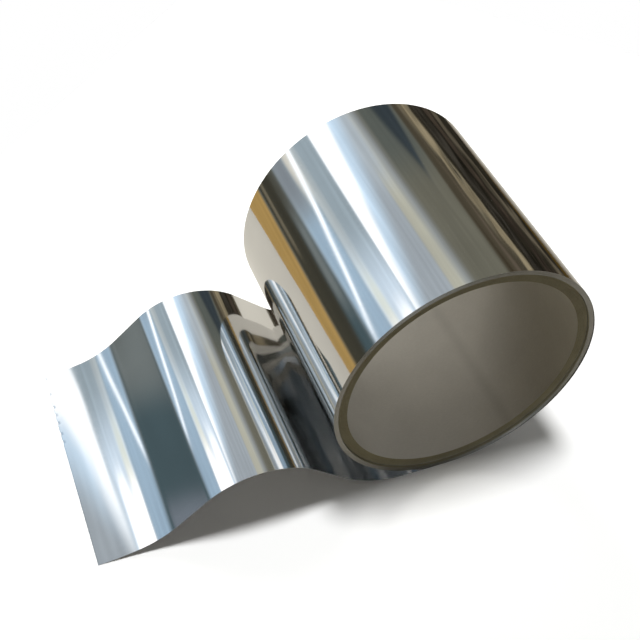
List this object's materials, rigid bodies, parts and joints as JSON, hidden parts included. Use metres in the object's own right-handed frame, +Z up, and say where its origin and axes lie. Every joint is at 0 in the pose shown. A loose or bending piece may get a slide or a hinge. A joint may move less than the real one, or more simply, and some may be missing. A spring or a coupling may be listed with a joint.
{
  "type": "coil of titanium foil",
  "caption": "Mirror-bright titanium foil wound on a plain core tube, lying on its side, with the loose end of the strip rolling out in a wave to a straight cut edge.",
  "frame": {"origin": "centre of the core tube's bore, halfway along the strip's width", "axes": "+Y along the coil's axis; the loose end runs out towards -X; +Z up from the level floor that the coil lies on"},
  "size_m": [0.3255, 0.165, 0.1715],
  "materials": {
    "titanium_foil": "bright rolled titanium, close to a mirror",
    "core_board": "matt grey board"
  },
  "bodies": {
    "root": {"core_tube": "core_board", "foil": "titanium_foil"}
  },
  "joints": []
}
